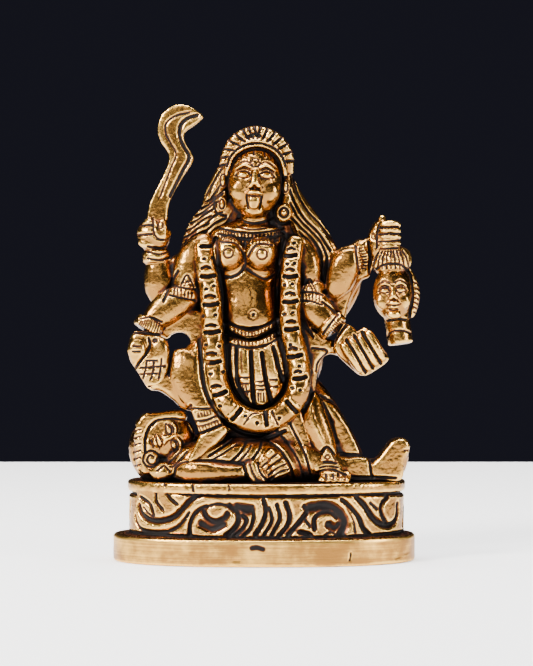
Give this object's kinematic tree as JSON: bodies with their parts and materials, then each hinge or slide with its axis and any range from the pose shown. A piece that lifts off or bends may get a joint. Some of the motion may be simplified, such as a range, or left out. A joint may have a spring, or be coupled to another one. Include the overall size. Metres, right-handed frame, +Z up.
{
  "type": "kali figure",
  "caption": "Cast brass statuette of a many-armed goddess treading on a reclining figure, with a raised curved sword, on an oval plinth carved with scrolls and a plain slab foot",
  "frame": {"origin": "the centre of the flat underside, which is the face that rests on a shelf", "axes": "+Z up, +Y away from the viewer (the figure faces -Y), +X to the viewer's right"},
  "size_m": [0.0766, 0.04, 0.1142],
  "materials": {
    "antique_brass": "antique cast brass: worn bright gold on the high points, red-brown to near-black patina in the recesses, brushed plain slab"
  },
  "bodies": {
    "root": {"kali_figure": "antique_brass"}
  },
  "joints": []
}
